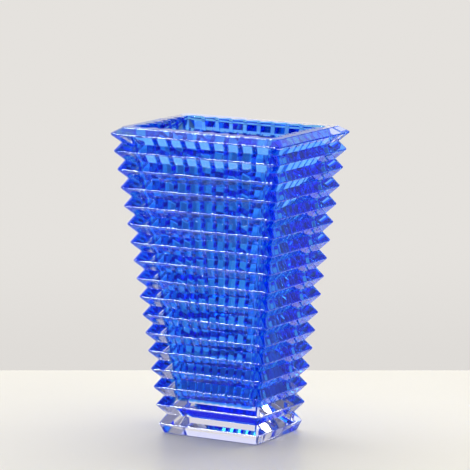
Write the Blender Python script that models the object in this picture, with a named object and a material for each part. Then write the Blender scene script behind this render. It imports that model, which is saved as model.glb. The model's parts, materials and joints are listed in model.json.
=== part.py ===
"""Cut crystal vase: a clear ribbed outer body fused around a blue inner casing, both fluted inside.

Metres, +Z up, the foot resting on z = 0 and the vase centred on the Z axis.
The wide faces look along -Y and +Y, the narrow faces along -X and +X.
"""
import bpy
import bmesh
from math import cos, sin, pi
from mathutils import Vector

# ---- overall form -------------------------------------------------------
HEIGHT = 0.240
RIM_WIDTH = 0.1540          # over the tips of the topmost rib, along X
RIM_DEPTH = 0.1106          # the same along Y
FOOT_WIDTH = 0.0914         # over the tips of the foot rib, along X
FOOT_DEPTH = 0.0696         # the same along Y
FLARE_BOW = 0.0021          # how far the flare is hollowed at mid height, on each full width

# ---- the horizontal prism ribs cut outside ------------------------------
RIB_COUNT = 17
RIB_TOP_Z = 0.2356          # where an evenly spaced top rib would have its tip
RIB_PITCH = 0.01423
RIM_TIP_DROP = 0.0010       # the rim rib sits a little lower than the even spacing
FOOT_TIP_DROP = 0.0008      # and so does the foot rib
RIB_DEPTH = 0.0055
TIP_HALF_FLAT = 0.0005      # half the height of the small polished flat on each tip
RIM_CORNER_RADIUS = 0.0050
FOOT_CORNER_RADIUS = 0.0022

# ---- rim and foot -------------------------------------------------------
LIP_INSET = 0.0066          # from the rim tip back to the flat polished lip
LIP_CHAMFER = 0.0005
FOOT_INSET = 0.0030         # from the foot tip back to the flat base
BASE_CHAMFER = 0.0005

# ---- the fluted pocket in the clear body and the blue casing in it ------
WALL_FROM_TIPS = 0.0134     # clear wall measured from the rib tips to the bottom of a flute
POCKET_CORNER_EXTRA = 0.0017  # the pocket's corners are rounder than the envelope's by this much
POCKET_FLOOR_Z = 0.0226
SEAM_GAP = 0.0003           # stands for the fused seam between the two glasses
CASING_TOP_Z = 0.2396
CASING_FLOOR = 0.0022
CASING_WALL = 0.0016        # blue glass, measured square to the vase's face
FLUTES_WIDE = 9             # flutes across each wide face
FLUTES_NARROW = 7           # flutes across each narrow face
FLUTE_DEPTH_RIM = 0.0050
FLUTE_DEPTH_FOOT = 0.0024
WALL_LEVELS = 4             # straight runs from the top of a fluted wall to its bottom
CORNER_STEPS = 4
SMOOTH_BELOW = 0.45         # radians; rounded corners shade smooth, facets stay crisp


def share_down(z):
    """How far down the vase a height is: 0 at the top rib, 1 at the foot rib."""
    return (RIB_TOP_Z - z) / (RIB_PITCH * (RIB_COUNT - 1))


def envelope(z):
    """Half width, half depth and corner radius of the face the rib tips touch."""
    t = share_down(z)
    bow = 4.0 * FLARE_BOW * t * (1.0 - t)
    width = RIM_WIDTH + (FOOT_WIDTH - RIM_WIDTH) * t - bow
    depth = RIM_DEPTH + (FOOT_DEPTH - RIM_DEPTH) * t - bow
    radius = RIM_CORNER_RADIUS + (FOOT_CORNER_RADIUS - RIM_CORNER_RADIUS) * t
    return width / 2.0, depth / 2.0, radius


def rounded_section(half_w, half_d, radius, z, steps=CORNER_STEPS):
    """One level outline: a rectangle with rounded corners, counter-clockwise from above."""
    points = []
    for quarter, (sx, sy) in enumerate(((1, -1), (1, 1), (-1, 1), (-1, -1))):
        centre = Vector((sx * (half_w - radius), sy * (half_d - radius), z))
        for step in range(steps + 1):
            angle = -pi / 2.0 + (quarter + step / steps) * pi / 2.0
            points.append(centre + Vector((cos(angle), sin(angle), 0.0)) * radius)
    return points


def fluted_section(half_w, half_d, radius, depth, z):
    """One level outline whose straight sides zigzag between upright flutes and ridges.

    half_w and half_d reach to the bottoms of the flutes and depth is how far the ridges
    stand in from there. The ends of each side, next to the rounded corners, have no ridge.
    """
    points = []
    sides = (
        (Vector((0, -1, 0)), Vector((1, 0, 0)), half_w, half_d, FLUTES_WIDE),
        (Vector((1, 0, 0)), Vector((0, 1, 0)), half_d, half_w, FLUTES_NARROW),
        (Vector((0, 1, 0)), Vector((-1, 0, 0)), half_w, half_d, FLUTES_WIDE),
        (Vector((-1, 0, 0)), Vector((0, -1, 0)), half_d, half_w, FLUTES_NARROW),
    )
    for outward, along, half_run, reach, flutes in sides:
        run = half_run - radius
        for index in range(2 * flutes):
            on_ridge = index % 2 == 0 and index > 0
            place = along * (run * (index / flutes - 1.0))
            points.append(place + outward * (reach - depth * on_ridge) + Vector((0, 0, z)))
        centre = along * run + outward * (reach - radius) + Vector((0, 0, z))
        for step in range(CORNER_STEPS):
            angle = step / CORNER_STEPS * pi / 2.0
            points.append(centre + (outward * cos(angle) + along * sin(angle)) * radius)
    return points


def skin(bm, sections):
    """Join closed outlines that have the same number of points; give back the end rings."""
    rings = [[bm.verts.new(point) for point in section] for section in sections]
    for lower, upper in zip(rings, rings[1:]):
        count = len(lower)
        for i in range(count):
            j = (i + 1) % count
            bm.faces.new((lower[i], lower[j], upper[j], upper[i]))
    return rings[0], rings[-1]


def ring_edges(bm, ring):
    return [bm.edges.get((ring[i - 1], ring[i])) for i in range(len(ring))]


def close_level(bm, *rings):
    """Fill the level face inside one ring, or between an outer and an inner ring."""
    edges = [edge for ring in rings for edge in ring_edges(bm, ring)]
    bmesh.ops.triangle_fill(bm, edges=edges, use_beauty=True, normal=Vector((0, 0, 1)))


def finish_node(bm, name, collection, material):
    """Close the mesh up, point its faces outward and file it as one named node."""
    bmesh.ops.recalc_face_normals(bm, faces=bm.faces)
    mesh = bpy.data.meshes.new(name)
    bm.to_mesh(mesh)
    bm.free()
    mesh.shade_smooth()
    mesh.set_sharp_from_angle(angle=SMOOTH_BELOW)
    node = bpy.data.objects.new(name, mesh)
    mesh.materials.append(material)
    collection.objects.link(node)
    return node


def glass(name, colour, roughness):
    material = bpy.data.materials.new(name)
    material.use_nodes = True
    shader = material.node_tree.nodes["Principled BSDF"]
    shader.inputs["Base Color"].default_value = colour
    shader.inputs["Roughness"].default_value = roughness
    shader.inputs["IOR"].default_value = 1.54
    shader.inputs["Transmission Weight"].default_value = 1.0
    return material


def rib_tip_z(index):
    """Height of one rib tip, counted from the rim rib (0) down to the foot rib."""
    z = RIB_TOP_Z - RIB_PITCH * index
    if index == 0:
        z -= RIM_TIP_DROP
    if index == RIB_COUNT - 1:
        z -= FOOT_TIP_DROP
    return z


def outside_sections():
    """Level outlines up the outside of the clear body, from the base to the lip."""
    sections = []

    def add(z, inset, at=None):
        half_w, half_d, radius = envelope(z if at is None else at)
        sections.append(rounded_section(half_w - inset, half_d - inset, radius, z))

    foot_z = rib_tip_z(RIB_COUNT - 1)
    add(0.0, FOOT_INSET + BASE_CHAMFER, at=foot_z)
    add(BASE_CHAMFER, FOOT_INSET, at=foot_z)
    for index in reversed(range(RIB_COUNT)):
        tip = rib_tip_z(index)
        half_drop = RIB_PITCH / 2.0
        back = RIB_DEPTH * TIP_HALF_FLAT / half_drop
        add(tip - TIP_HALF_FLAT, back)
        add(tip + TIP_HALF_FLAT, back)
        if index > 0:
            add((tip + rib_tip_z(index - 1)) / 2.0, RIB_DEPTH)
    rim_z = rib_tip_z(0)
    add(HEIGHT - LIP_CHAMFER, LIP_INSET, at=rim_z)
    add(HEIGHT, LIP_INSET + LIP_CHAMFER, at=rim_z)
    return sections


def flute_depth(z):
    return FLUTE_DEPTH_RIM + (FLUTE_DEPTH_FOOT - FLUTE_DEPTH_RIM) * share_down(z)


def fluted_wall(inset, low, high):
    """Level outlines of a fluted wall, from low up to high.

    Walls at different insets are true offsets of each other, so that their flutes line up.
    """
    sections = []
    for i in range(WALL_LEVELS + 1):
        z = low + (high - low) * i / WALL_LEVELS
        half_w, half_d, radius = envelope(z)
        corner = radius + POCKET_CORNER_EXTRA - (inset - WALL_FROM_TIPS)
        sections.append(fluted_section(half_w - inset, half_d - inset, corner, flute_depth(z), z))
    return sections


def build_body(collection):
    """Clear crystal: ribbed outside, flat lip, fluted pocket, thick solid base."""
    bm = bmesh.new()
    base, lip_outside = skin(bm, outside_sections())
    pocket_floor, lip_inside = skin(bm, fluted_wall(WALL_FROM_TIPS, POCKET_FLOOR_Z, HEIGHT))
    close_level(bm, base)
    close_level(bm, pocket_floor)
    close_level(bm, lip_outside, lip_inside)
    return finish_node(bm, "clear_crystal_body", collection, glass("clear_crystal", (1.0, 1.0, 1.0, 1.0), 0.02))


def build_casing(collection):
    """Blue glass cup: one even layer that follows the flutes of the pocket, flat floor."""
    outer_floor = POCKET_FLOOR_Z + SEAM_GAP
    inner_floor = outer_floor + CASING_FLOOR
    bm = bmesh.new()
    outer_inset = WALL_FROM_TIPS + SEAM_GAP
    outer_base, outer_rim = skin(bm, fluted_wall(outer_inset, outer_floor, CASING_TOP_Z))
    inner_base, inner_rim = skin(bm, fluted_wall(outer_inset + CASING_WALL, inner_floor, CASING_TOP_Z))
    close_level(bm, outer_base)
    close_level(bm, inner_base)
    close_level(bm, outer_rim, inner_rim)
    return finish_node(bm, "blue_inner_casing", collection, glass("blue_casing_glass", (0.02, 0.10, 0.80, 1.0), 0.03))


for old in list(bpy.data.objects):
    bpy.data.objects.remove(old, do_unlink=True)
vase = bpy.data.collections.new("cut_crystal_vase")
bpy.context.scene.collection.children.link(vase)
build_body(vase)
build_casing(vase)
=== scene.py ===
# %% [markdown]
# # Cut crystal vase
# A tall rectangular vase of cased glass. A thick clear crystal body carries seventeen level
# prism ribs on its outside. Upright flutes run down the inside of it, and a thin layer of blue
# glass is fused to the inside and follows every flute. Light that crosses level prisms outside
# and upright flutes inside is what makes the chequered sparkle. Both sets of cuts are real
# geometry here, and the two glasses are traced as one fused piece.

import json
from math import atan2, cos, pi, radians, sin

import bmesh
import bpy
from mathutils import Euler, Matrix, Vector

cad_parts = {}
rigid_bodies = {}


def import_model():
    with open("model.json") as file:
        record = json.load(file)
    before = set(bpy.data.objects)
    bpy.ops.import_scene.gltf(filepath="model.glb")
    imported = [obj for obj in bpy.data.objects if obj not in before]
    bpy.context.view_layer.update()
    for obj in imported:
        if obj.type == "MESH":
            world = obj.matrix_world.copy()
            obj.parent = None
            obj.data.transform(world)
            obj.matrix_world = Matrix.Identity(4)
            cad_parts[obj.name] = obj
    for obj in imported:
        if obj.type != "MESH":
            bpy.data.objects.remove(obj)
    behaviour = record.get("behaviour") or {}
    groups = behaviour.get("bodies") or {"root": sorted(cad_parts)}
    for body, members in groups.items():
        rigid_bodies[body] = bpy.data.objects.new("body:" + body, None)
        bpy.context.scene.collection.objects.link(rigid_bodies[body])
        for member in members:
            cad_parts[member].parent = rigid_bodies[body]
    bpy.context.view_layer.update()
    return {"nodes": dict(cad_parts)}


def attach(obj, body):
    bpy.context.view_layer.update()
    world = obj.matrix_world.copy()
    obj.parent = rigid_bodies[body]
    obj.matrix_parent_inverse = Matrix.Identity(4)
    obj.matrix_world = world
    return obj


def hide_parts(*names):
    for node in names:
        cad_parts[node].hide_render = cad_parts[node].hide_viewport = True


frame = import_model()
print("nodes:", sorted(frame["nodes"]))

# %% [markdown]
# ## The form everything hangs on
# The ribs' tips touch one gently flared, rectangular envelope that is hollowed a little at mid
# height. Every level outline of the vase, from the base to the lip and down into the pocket, is
# this envelope moved inward by some distance. One function therefore gives the size of all of
# them, and a change of the flare carries through the whole vase.

# %% Sizes in metres
HEIGHT = 0.240
RIM_WIDTH, RIM_DEPTH = 0.1540, 0.1106
FOOT_WIDTH, FOOT_DEPTH = 0.0914, 0.0696
FLARE_BOW = 0.0021
RIM_CORNER_RADIUS, FOOT_CORNER_RADIUS = 0.0050, 0.0022
RIB_COUNT = 17
RIB_TOP_Z = 0.2356
RIB_PITCH = 0.01423
RIB_DEPTH = 0.0055
RIM_TIP_DROP, FOOT_TIP_DROP = 0.0010, 0.0008
TIP_RADIUS = 0.0014
VALLEY_RADIUS = 0.0001
LIP_INSET = 0.0066
LIP_ROUND = 0.0006
FOOT_INSET = 0.0030
BASE_CHAMFER = 0.0005


def share_down(z):
    """How far down the vase a height is: 0 at the top rib, 1 at the foot rib."""
    return (RIB_TOP_Z - z) / (RIB_PITCH * (RIB_COUNT - 1))


def envelope(z):
    """Half width, half depth and corner radius of the face that the rib tips touch."""
    t = share_down(z)
    bow = 4.0 * FLARE_BOW * t * (1.0 - t)
    width = RIM_WIDTH + (FOOT_WIDTH - RIM_WIDTH) * t - bow
    depth = RIM_DEPTH + (FOOT_DEPTH - RIM_DEPTH) * t - bow
    radius = RIM_CORNER_RADIUS + (FOOT_CORNER_RADIUS - RIM_CORNER_RADIUS) * t
    return width / 2.0, depth / 2.0, radius


def rib_tip_z(index):
    """Height of one rib tip, counted from the rim rib (0) down to the foot rib."""
    z = RIB_TOP_Z - RIB_PITCH * index
    if index == 0:
        z -= RIM_TIP_DROP
    if index == RIB_COUNT - 1:
        z -= FOOT_TIP_DROP
    return z


print("rib tips at mm:", [round(1000 * rib_tip_z(i), 1) for i in range(RIB_COUNT)])

# %% [markdown]
# ## The pocket's flutes
# Nine upright V flutes cross each wide side of the pocket and seven cross each narrow side. They
# are five millimetres deep at the rim and about half of that at the foot, as the vase narrows.
# The blue layer is a true offset of the pocket, so its flutes line up with the clear ones.

# %% Pocket sizes
WALL_FROM_TIPS = 0.0134
POCKET_CORNER_EXTRA = 0.0017
POCKET_FLOOR_Z = 0.0226
SEAM_GAP = 0.0003
CASING_TOP_Z = 0.2396
CASING_FLOOR = 0.0022
CASING_WALL = 0.0016
FLUTES_WIDE, FLUTES_NARROW = 9, 7
FLUTE_DEPTH_RIM, FLUTE_DEPTH_FOOT = 0.0050, 0.0024


def flute_depth(z):
    return FLUTE_DEPTH_RIM + (FLUTE_DEPTH_FOOT - FLUTE_DEPTH_RIM) * share_down(z)


half_wide, _, corner = envelope(HEIGHT)
pitch = 2.0 * (half_wide - WALL_FROM_TIPS - corner - POCKET_CORNER_EXTRA) / FLUTES_WIDE
print("flute pitch at the rim in mm:", round(1000 * pitch, 2))

# %% [markdown]
# ## One ring of points that fits every outline
# The ribs of such a vase may be cut into a moulded blank. In Blender the same wall can grow as
# one level ring of edges that is extruded again and again, each new ring moved to the outline it
# has at its height. The first ring is a square whose corners a bevel rounds and whose sides are cut
# into half flutes. Each point remembers the straight side or the rounded corner that it stands
# on. That is all it needs to be placed on any later outline, plain or fluted.

# %% The first ring
STEPS_PER_CORNER = 8
STEPS_PER_FLUTE = 2
SQUARE_ROUND = 0.2
SQUARE_SIDE = 1.0 - SQUARE_ROUND
CLOSE = 1e-4


def first_ring(bm):
    """A flat ring of edges on a two metre square with rounded corners."""
    corners = bmesh.ops.create_grid(bm, x_segments=1, y_segments=1, size=1.0)["verts"]
    bmesh.ops.bevel(
        bm,
        geom=corners,
        affect="VERTICES",
        offset=SQUARE_ROUND,
        offset_type="OFFSET",
        segments=STEPS_PER_CORNER,
        profile=0.5,
        material=-1,
    )
    bmesh.ops.delete(bm, geom=list(bm.faces), context="FACES_ONLY")
    for along, flutes in ((0, FLUTES_WIDE), (1, FLUTES_NARROW)):
        across_side = 1 - along
        sides = [e for e in bm.edges if all(abs(abs(v.co[across_side]) - 1.0) < CLOSE for v in e.verts)]
        bmesh.ops.subdivide_edges(bm, edges=sides, cuts=flutes * STEPS_PER_FLUTE - 1)
    return list(bm.edges)


def mark(co):
    """Where a point of the first ring stands: on a rounded corner, or so far along a side."""
    sx = 1 if co.x > 0 else -1
    sy = 1 if co.y > 0 else -1
    near_end_x = abs(co.x) > SQUARE_SIDE - CLOSE
    near_end_y = abs(co.y) > SQUARE_SIDE - CLOSE
    if near_end_x and near_end_y:
        turn = Vector((co.x - SQUARE_SIDE * sx, co.y - SQUARE_SIDE * sy)) / SQUARE_ROUND
        return ("corner", sx, sy, turn)
    if near_end_y:
        return ("side", Vector((0, sy)), Vector((1, 0)), (co.x / SQUARE_SIDE + 1) / 2, FLUTES_WIDE)
    return ("side", Vector((sx, 0)), Vector((0, 1)), (co.y / SQUARE_SIDE + 1) / 2, FLUTES_NARROW)


def outline_point(spot, half_w, half_d, radius, z, ridge):
    """The place of a marked point on an outline; ridge is how far the ridges stand in."""
    if spot[0] == "corner":
        _, sx, sy, turn = spot
        x = sx * (half_w - radius) + turn.x * radius
        y = sy * (half_d - radius) + turn.y * radius
        return Vector((x, y, z))
    _, outward, along, share, flutes = spot
    on_narrow_side = abs(outward.x) > 0.5
    reach = half_w if on_narrow_side else half_d
    run = (half_d if on_narrow_side else half_w) - radius
    s = (share * flutes) % 1.0
    stand_in = ridge * abs(2.0 * s - 1.0)
    flat = outward * (reach - stand_in) + along * (2.0 * share - 1.0) * run
    return Vector((flat.x, flat.y, z))


sample = bmesh.new()
print("points in one ring:", len(first_ring(sample)))
sample.free()

# %% [markdown]
# ## Growing a closed piece of glass
# A piece is a list of outlines with a tag for the band that leads to each: a cut and polished
# face, or a face of the fused seam. The ring is extruded from outline to outline and both ends
# are filled. The tag is kept on the faces as the attribute `cut_face`, because the glass needs
# to know where light bends and where it passes straight through.

# %% Extruding the ring from outline to outline
CUT, SEAM = 0, 1
FACET_ANGLE = radians(26)
FLAT_FACE_WEIGHT = 100


def climb(bm, ring, marks, outline, tag):
    """Extrude the ring once, put the new ring on its outline and tag the band between them."""
    made = bmesh.ops.extrude_edge_only(bm, edges=ring)["geom"]
    fresh = {g for g in made if isinstance(g, bmesh.types.BMVert)}
    for v in fresh:
        below = next(e.other_vert(v) for e in v.link_edges if e.other_vert(v) not in fresh)
        marks[v] = marks[below]
        v.co = outline_point(marks[v], *outline)
    for g in made:
        if isinstance(g, bmesh.types.BMFace):
            g.material_index = tag
    return [g for g in made if isinstance(g, bmesh.types.BMEdge) and set(g.verts) <= fresh]


def grow_glass(name, outlines, material):
    """Grow one closed piece; outlines is a list of (outline, tag) in order."""
    bm = bmesh.new()
    ring = first_ring(bm)
    marks = {v: mark(v.co) for v in bm.verts}
    for v in bm.verts:
        v.co = outline_point(marks[v], *outlines[0][0])
    start = bmesh.ops.edgeloop_fill(bm, edges=ring)["faces"]
    for outline, tag in outlines[1:]:
        ring = climb(bm, ring, marks, outline, tag)
    end = bmesh.ops.edgeloop_fill(bm, edges=ring)["faces"]
    start[0].material_index = outlines[0][1]
    end[0].material_index = outlines[-1][1]
    bmesh.ops.recalc_face_normals(bm, faces=bm.faces)
    closed = all(e.is_manifold for e in bm.edges)
    print(name, "closed:", closed, "volume in ml:", round(bm.calc_volume() * 1e6, 1))
    mesh = bpy.data.meshes.new(name)
    bm.to_mesh(mesh)
    bm.free()
    cut_face = mesh.attributes.new("cut_face", "FLOAT", "FACE")
    for polygon in mesh.polygons:
        cut_face.data[polygon.index].value = float(polygon.material_index == CUT)
        polygon.material_index = 0
    mesh.shade_smooth()
    mesh.set_sharp_from_angle(angle=FACET_ANGLE)
    mesh.materials.append(material)
    piece = bpy.data.objects.new(name, mesh)
    bpy.context.scene.collection.objects.link(piece)
    flat_facets = piece.modifiers.new("facets stay flat", "WEIGHTED_NORMAL")
    flat_facets.mode = "FACE_AREA"
    flat_facets.weight = FLAT_FACE_WEIGHT
    flat_facets.keep_sharp = True
    return piece


# %% [markdown]
# ## Levels of the ribbed outside
# A prism rib has a slightly rounded, bright tip and a nearly sharp valley. Each turn is a short
# arc between the two straight flanks, made from a few levels. The straight flanks
# themselves need no levels of their own.

# %% Outside levels
TIP_STEPS = 4
VALLEY_STEPS = 2
LIP_STEPS = 3


def level(z, inset, at=None):
    """The plain outline at a height; at takes the envelope's size from another height."""
    half_w, half_d, radius = envelope(z if at is None else at)
    return (half_w - inset, half_d - inset, radius, z, 0.0)


def rounded_turn(z, inset, radius, direction, steps):
    """Levels round a rib's tip (direction 1) or round a valley (direction -1), going up."""
    half_angle = pi / 2.0 - atan2(RIB_PITCH / 2.0, RIB_DEPTH)
    point_to_arc = radius * (1.0 / cos(half_angle) - 1.0)
    levels = []
    for i in range(steps + 1):
        turn = -half_angle + 2.0 * half_angle * i / steps
        back = point_to_arc + radius * (1.0 - cos(turn))
        levels.append((level(z + radius * sin(turn), inset + direction * back), CUT))
    return levels


def ribbed_outside():
    """Levels from the base up over all ribs to the inner edge of the rounded lip."""
    foot = rib_tip_z(RIB_COUNT - 1)
    rim = rib_tip_z(0)
    levels = [
        (level(0.0, FOOT_INSET + BASE_CHAMFER, at=foot), CUT),
        (level(BASE_CHAMFER, FOOT_INSET, at=foot), CUT),
    ]
    for index in reversed(range(RIB_COUNT)):
        tip = rib_tip_z(index)
        levels += rounded_turn(tip, 0.0, TIP_RADIUS, 1, TIP_STEPS)
        if index > 0:
            valley = (tip + rib_tip_z(index - 1)) / 2.0
            levels += rounded_turn(valley, RIB_DEPTH, VALLEY_RADIUS, -1, VALLEY_STEPS)
    for i in range(LIP_STEPS + 1):
        turn = i / LIP_STEPS * pi / 2.0
        z = HEIGHT - LIP_ROUND * (1.0 - sin(turn))
        levels.append((level(z, LIP_INSET + LIP_ROUND * (1.0 - cos(turn)), at=rim), CUT))
    return levels


print("levels outside:", len(ribbed_outside()))

# %% [markdown]
# ## Levels of a fluted wall
# A fluted wall runs nearly straight from top to bottom, so a few levels are enough to follow the
# hollowed flare. A wall that lies further in has a smaller corner radius by the same amount,
# which is what makes it a true offset.

# %% Fluted levels
WALL_LEVELS = 8


def fluted_wall(inset, first_z, last_z, tag):
    """Levels of a fluted wall from one height to another, in the order they are grown."""
    levels = []
    for i in range(WALL_LEVELS + 1):
        z = first_z + (last_z - first_z) * i / WALL_LEVELS
        half_w, half_d, radius = envelope(z)
        corner = radius + POCKET_CORNER_EXTRA - (inset - WALL_FROM_TIPS)
        levels.append(((half_w - inset, half_d - inset, corner, z, flute_depth(z)), tag))
    return levels


# %% [markdown]
# ## The glass
# Crystal glass bends light strongly. Where the two glasses are fused no light is bent or
# reflected, so on the seam the index of refraction is set to one and the rays go straight on. The
# index comes from the `cut_face` attribute. An exported model does not carry such an index, so the
# seam is only invisible when this scene is rendered. A faint noise in the surface stands for the
# polish, which is never quite flat. The blue is made in two ways at once. Part of it is a tint
# that each crossing of a face adds, and the rest sits in the depth of the glass, where a longer
# path is a deeper blue.

# %% Glass materials
GLASS_IOR = 1.54
SPARKLE_TINT = (0.80, 0.88, 1.0, 1.0)
POLISH_SCALE = 60.0
POLISH_DETAIL = 2.0
CLEAR_POLISH_WAVE = 0.000015
BLUE_POLISH_WAVE = 0.00003
CLEAR_TINT = (0.925, 0.920, 1.0, 1.0)
BLUE_TINT = (0.42, 0.74, 1.0, 1.0)
BLUE = (0.0, 0.655, 0.995, 1.0)
BLUE_DENSITY = 560.0


def crystal(name, polish_wave, tint):
    """Glass with an index of one on the fused seam and a slightly uneven polish."""
    material = bpy.data.materials.new(name)
    material.use_nodes = True
    nodes = material.node_tree.nodes
    links = material.node_tree.links
    shader = nodes["Principled BSDF"]
    shader.inputs["Base Color"].default_value = tint
    shader.inputs["Roughness"].default_value = 0.0
    shader.inputs["Specular Tint"].default_value = SPARKLE_TINT
    shader.inputs["Transmission Weight"].default_value = 1.0
    cut = nodes.new("ShaderNodeAttribute")
    cut.attribute_name = "cut_face"
    index = nodes.new("ShaderNodeMath")
    index.operation = "MULTIPLY_ADD"
    index.inputs[1].default_value = GLASS_IOR - 1.0
    index.inputs[2].default_value = 1.0
    links.new(cut.outputs["Fac"], index.inputs[0])
    links.new(index.outputs["Value"], shader.inputs["IOR"])
    place = nodes.new("ShaderNodeTexCoord")
    noise = nodes.new("ShaderNodeTexNoise")
    noise.inputs["Scale"].default_value = POLISH_SCALE
    noise.inputs["Detail"].default_value = POLISH_DETAIL
    bump = nodes.new("ShaderNodeBump")
    bump.inputs["Strength"].default_value = 1.0
    bump.inputs["Distance"].default_value = polish_wave
    links.new(place.outputs["Object"], noise.inputs["Vector"])
    links.new(noise.outputs["Fac"], bump.inputs["Height"])
    links.new(bump.outputs["Normal"], shader.inputs["Normal"])
    return material


clear_crystal = crystal("hand_polished_crystal", CLEAR_POLISH_WAVE, CLEAR_TINT)
blue_glass = crystal("deep_blue_glass", BLUE_POLISH_WAVE, BLUE_TINT)
blue_nodes = blue_glass.node_tree.nodes
depth_colour = blue_nodes.new("ShaderNodeVolumeAbsorption")
depth_colour.inputs["Color"].default_value = BLUE
depth_colour.inputs["Density"].default_value = BLUE_DENSITY
volume_socket = blue_nodes["Material Output"].inputs["Volume"]
blue_glass.node_tree.links.new(depth_colour.outputs["Volume"], volume_socket)
print("materials:", clear_crystal.name, blue_glass.name)

# %% [markdown]
# ## The clear body
# This is the thick outer glass with the ribs. It grows from the base up over the ribs, across
# the flat lip and down the fluted pocket to the pocket's floor.
# The step across the lip is a cut face, everything further down belongs to the fused seam.

# %% Clear crystal body
pocket = fluted_wall(WALL_FROM_TIPS, HEIGHT, POCKET_FLOOR_Z, SEAM)
lip_step = (pocket[0][0], CUT)
body = grow_glass("clear_crystal_vase", ribbed_outside() + [lip_step] + pocket[1:], clear_crystal)
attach(body, "root")
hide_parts("clear_crystal_body")
print("faces in the body:", len(body.data.polygons))

# %% [markdown]
# ## The blue casing
# The casing is a thin gather of blue glass on the inside. It has one even thickness and a flat
# floor, and it stops a hair below the lip, where it shows as a thin blue line. It grows up the
# outside, over its narrow edge and down the inside.

# %% Blue casing
casing_low = POCKET_FLOOR_Z + SEAM_GAP
outer_inset = WALL_FROM_TIPS + SEAM_GAP
outer_wall = fluted_wall(outer_inset, casing_low, CASING_TOP_Z, SEAM)
inner_wall = fluted_wall(outer_inset + CASING_WALL, CASING_TOP_Z, casing_low + CASING_FLOOR, CUT)
casing = grow_glass("blue_fluted_casing", outer_wall + inner_wall, blue_glass)
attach(casing, "root")
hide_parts("blue_inner_casing")
print("faces in the casing:", len(casing.data.polygons))

# %% [markdown]
# ## The shelf
# The vase stands on a pale, satin painted shelf. It is a plain sheet whose back edge lies square
# to the view, a little below the vase so that the two faces never share a plane. Paint is not
# one even colour: a broad noise shifts its tone and a fine one its gloss and relief.

# %% Shelf top
VIEW_TURN = radians(31.01)
away = Vector((-sin(VIEW_TURN), cos(VIEW_TURN), 0.0))
across = Vector((cos(VIEW_TURN), sin(VIEW_TURN), 0.0))
SHELF_BACK, SHELF_REACH = 0.235, 3.0
SHELF_Z = -0.0003
SHELF_PALE = (0.82, 0.795, 0.735, 1.0)
SHELF_DEEP = (0.78, 0.755, 0.700, 1.0)
TONE_SCALE, GRAIN_SCALE = 6.0, 220.0
ROUGHNESS_LOW, ROUGHNESS_HIGH = 0.30, 0.42
GRAIN_RELIEF = 0.00002

bm = bmesh.new()
turned = Matrix.Rotation(VIEW_TURN, 4, "Z")
bmesh.ops.create_grid(bm, x_segments=1, y_segments=1, size=1.0, matrix=turned)
for v in bm.verts:
    sideways = across * (v.co.dot(across) * SHELF_REACH)
    lengthways = away * (SHELF_BACK if v.co.dot(away) > 0 else -SHELF_REACH)
    v.co = sideways + lengthways + Vector((0, 0, SHELF_Z))
shelf_mesh = bpy.data.meshes.new("shelf_top")
bm.to_mesh(shelf_mesh)
bm.free()
shelf = bpy.data.objects.new("shelf_top", shelf_mesh)
bpy.context.scene.collection.objects.link(shelf)

paint = bpy.data.materials.new("cream_shelf")
paint.use_nodes = True
paint_nodes = paint.node_tree.nodes
paint_links = paint.node_tree.links
paint_shader = paint_nodes["Principled BSDF"]
paint_place = paint_nodes.new("ShaderNodeTexCoord")
tone = paint_nodes.new("ShaderNodeTexNoise")
tone.inputs["Scale"].default_value = TONE_SCALE
tone_colour = paint_nodes.new("ShaderNodeMix")
tone_colour.data_type = "RGBA"
tone_colour.inputs[6].default_value = SHELF_DEEP
tone_colour.inputs[7].default_value = SHELF_PALE
grain = paint_nodes.new("ShaderNodeTexNoise")
grain.inputs["Scale"].default_value = GRAIN_SCALE
gloss = paint_nodes.new("ShaderNodeMapRange")
gloss.inputs["To Min"].default_value = ROUGHNESS_LOW
gloss.inputs["To Max"].default_value = ROUGHNESS_HIGH
relief = paint_nodes.new("ShaderNodeBump")
relief.inputs["Distance"].default_value = GRAIN_RELIEF
for texture in (tone, grain):
    paint_links.new(paint_place.outputs["Object"], texture.inputs["Vector"])
paint_links.new(tone.outputs["Fac"], tone_colour.inputs["Factor"])
paint_links.new(tone_colour.outputs[2], paint_shader.inputs["Base Color"])
paint_links.new(grain.outputs["Fac"], gloss.inputs["Value"])
paint_links.new(gloss.outputs["Result"], paint_shader.inputs["Roughness"])
paint_links.new(grain.outputs["Fac"], relief.inputs["Height"])
paint_links.new(relief.outputs["Normal"], paint_shader.inputs["Normal"])
shelf_mesh.materials.append(paint)
print("shelf runs back to mm:", round(1000 * SHELF_BACK))

# %% [markdown]
# ## The room
# Clear glass only shows what stands around it, so the room matters as much as the glass. The wall
# behind is a warm light grey, with painted shade that darkens it a little near the shelf. Cool
# daylight fills the sides and the ceiling. The half of the room on the viewer's side is dim, and so
# is a strip on the right, because a bright one would lay a grey veil over the upper facets.

# %% World
WALL_LIGHT = (0.783, 0.760, 0.730)
# painted shade: the wall's colour just above the shelf, a little darker
WALL_FOOT_PAINTED_SHADE = (0.735, 0.712, 0.685)
DAY_LIGHT = (0.82, 0.91, 1.18)
CEILING_LIGHT = (0.95, 1.02, 1.55)
SIDE_LIGHT = (0.36, 0.36, 0.42)
ROOM_LIGHT = (0.16, 0.16, 0.24)
# each pair is where one light starts to give way to the next and where it has, from -1 to 1
WALL_FOOT_SHADE_BAND = (-0.205, -0.165)
WALL_BAND = (0.70, 0.93)
CEILING_BAND = (0.12, 0.60)
SIDE_BAND = (0.75, 0.93)
VIEWER_BAND = (-0.45, 0.20)
VIEWER_HEIGHT_BAND = (0.02, 0.10)
SIDE_WAY = (sin(VIEW_TURN), cos(VIEW_TURN), 0.0)

world = bpy.data.worlds.new("studio_room")
bpy.context.scene.world = world
world.use_nodes = True
room = world.node_tree.nodes
room_links = world.node_tree.links
way = room.new("ShaderNodeTexCoord").outputs["Generated"]
split = room.new("ShaderNodeSeparateXYZ")
room_links.new(way, split.inputs["Vector"])
height = split.outputs["Z"]


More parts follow.
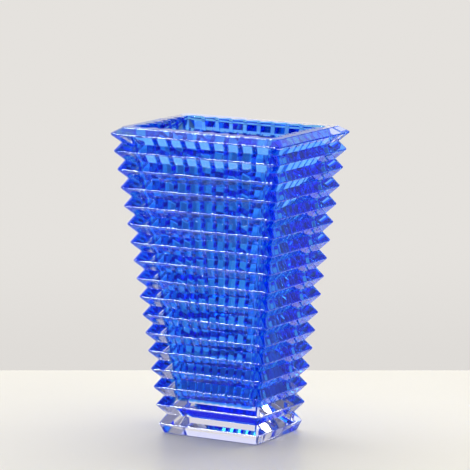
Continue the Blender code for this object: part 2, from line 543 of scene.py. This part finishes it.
def towards(direction):
    """How much a ray points in a direction, from -1 to 1."""
    node = room.new("ShaderNodeVectorMath")
    node.operation = "DOT_PRODUCT"
    node.inputs[1].default_value = direction
    room_links.new(way, node.inputs[0])
    return node.outputs["Value"]


def ease(value, band):
    """A smooth step from 0 at the band's low end to 1 at its high end."""
    low, high = band
    node = room.new("ShaderNodeMapRange")
    node.interpolation_type = "SMOOTHSTEP"
    node.inputs["From Min"].default_value = low
    node.inputs["From Max"].default_value = high
    room_links.new(value, node.inputs["Value"])
    return node.outputs["Result"]


def times(first, second):
    node = room.new("ShaderNodeMath")
    node.operation = "MULTIPLY"
    room_links.new(first, node.inputs[0])
    room_links.new(second, node.inputs[1])
    return node.outputs["Value"]


def blend(factor, first, second):
    """First where factor is 0, second where it is 1; each is a colour or another blend."""
    node = room.new("ShaderNodeMix")
    node.data_type = "RGBA"
    room_links.new(factor, node.inputs["Factor"])
    for socket, colour in ((node.inputs[6], first), (node.inputs[7], second)):
        if isinstance(colour, tuple):
            socket.default_value = (*colour, 1.0)
        else:
            room_links.new(colour, socket)
    return node.outputs[2]


# the wall darkens towards the shelf by painted shade
wall = blend(ease(height, WALL_FOOT_SHADE_BAND), WALL_FOOT_PAINTED_SHADE, WALL_LIGHT)
light = blend(ease(towards(away), WALL_BAND), DAY_LIGHT, wall)
light = blend(ease(height, CEILING_BAND), light, CEILING_LIGHT)
light = blend(ease(towards(SIDE_WAY), SIDE_BAND), light, SIDE_LIGHT)
viewer_side = times(ease(towards(-away), VIEWER_BAND), ease(height, VIEWER_HEIGHT_BAND))
light = blend(viewer_side, light, ROOM_LIGHT)
room_links.new(light, room["Background"].inputs["Color"])
print("nodes in the room:", len(room))

# %% [markdown]
# ## Two lights
# A small window at the front left is what the rounded rib tips pick up as fine bright lines. It
# covers a stretch of the cone of directions that the level tips reflect into the lens, and is low
# enough that most of the upper facets miss it. A wide softbox overhead is kept out of the reflections and
# of the light through the glass, so that it lights the shelf and not the vase.

# %% Lights
WINDOW_PLACE = Vector((-1.347, -2.454, 0.80))
WINDOW_AIM = Vector((0, 0, 0.12))
WINDOW_WIDE, WINDOW_TALL, WINDOW_WATTS = 0.9, 0.8, 100.0
WINDOW_COLOUR = (1.0, 1.0, 1.0)
SOFTBOX_PLACE = across * 0.15 + away * 0.3 + Vector((0, 0, 1.5))
SOFTBOX_AIM = Vector((0, 0, 0))
SOFTBOX_SIDE, SOFTBOX_WATTS = 2.0, 27.0
SOFTBOX_COLOUR = (1.0, 0.95, 0.52)


def area_light(name, wide, tall, watts, colour, place, aim):
    """A rectangular lamp that is hidden from rays refracted through glass."""
    data = bpy.data.lights.new(name, "AREA")
    data.shape = "RECTANGLE"
    data.size = wide
    data.size_y = tall
    data.energy = watts
    data.color = colour
    light_object = bpy.data.objects.new(name, data)
    light_object.location = place
    light_object.rotation_euler = (aim - place).to_track_quat("-Z", "Y").to_euler()
    bpy.context.scene.collection.objects.link(light_object)
    light_object.visible_transmission = False
    return light_object


window = area_light(
    "left_window",
    WINDOW_WIDE,
    WINDOW_TALL,
    WINDOW_WATTS,
    WINDOW_COLOUR,
    WINDOW_PLACE,
    WINDOW_AIM,
)
window.visible_diffuse = False
softbox = area_light(
    "overhead_softbox",
    SOFTBOX_SIDE,
    SOFTBOX_SIDE,
    SOFTBOX_WATTS,
    SOFTBOX_COLOUR,
    SOFTBOX_PLACE,
    SOFTBOX_AIM,
)
softbox.visible_glossy = False
print("window at mm:", [round(1000 * v) for v in window.location])

# %% [markdown]
# ## The camera
# A long lens from about two and a half metres, a little above the rim and looking at the corner
# where a wide and a narrow face meet.

# %% Camera
SENSOR_MM, FOCAL_MM = 36.0, 267.35
CAMERA_PLACE = Vector((1.3743, -2.2795, 0.5983))
CAMERA_TILT = radians(80.544)
FURTHEST_SEEN = 50.0

lens = bpy.data.cameras.new("camera")
lens.sensor_width = SENSOR_MM
lens.lens = FOCAL_MM
lens.clip_end = FURTHEST_SEEN
camera = bpy.data.objects.new("camera", lens)
camera.location = CAMERA_PLACE
camera.rotation_euler = Euler((CAMERA_TILT, 0.0, VIEW_TURN))
bpy.context.scene.collection.objects.link(camera)
bpy.context.scene.camera = camera
print("camera stands off by mm:", round(1000 * camera.location.length))

# %% [markdown]
# ## Light paths
# A ray may meet many faces of this vase before it gets out again, so it is allowed many bounces.
# A ray that runs out of bounces brings back no light.

# %% Light paths and view
GLASS_BOUNCES, MIRROR_BOUNCES, TRANSPARENT_BOUNCES = 40, 24, 128

cycles = bpy.context.scene.cycles
cycles.max_bounces = GLASS_BOUNCES
cycles.transmission_bounces = GLASS_BOUNCES
cycles.glossy_bounces = MIRROR_BOUNCES
cycles.transparent_max_bounces = TRANSPARENT_BOUNCES
bpy.context.scene.view_settings.view_transform = "Standard"
print("bounces:", cycles.max_bounces)
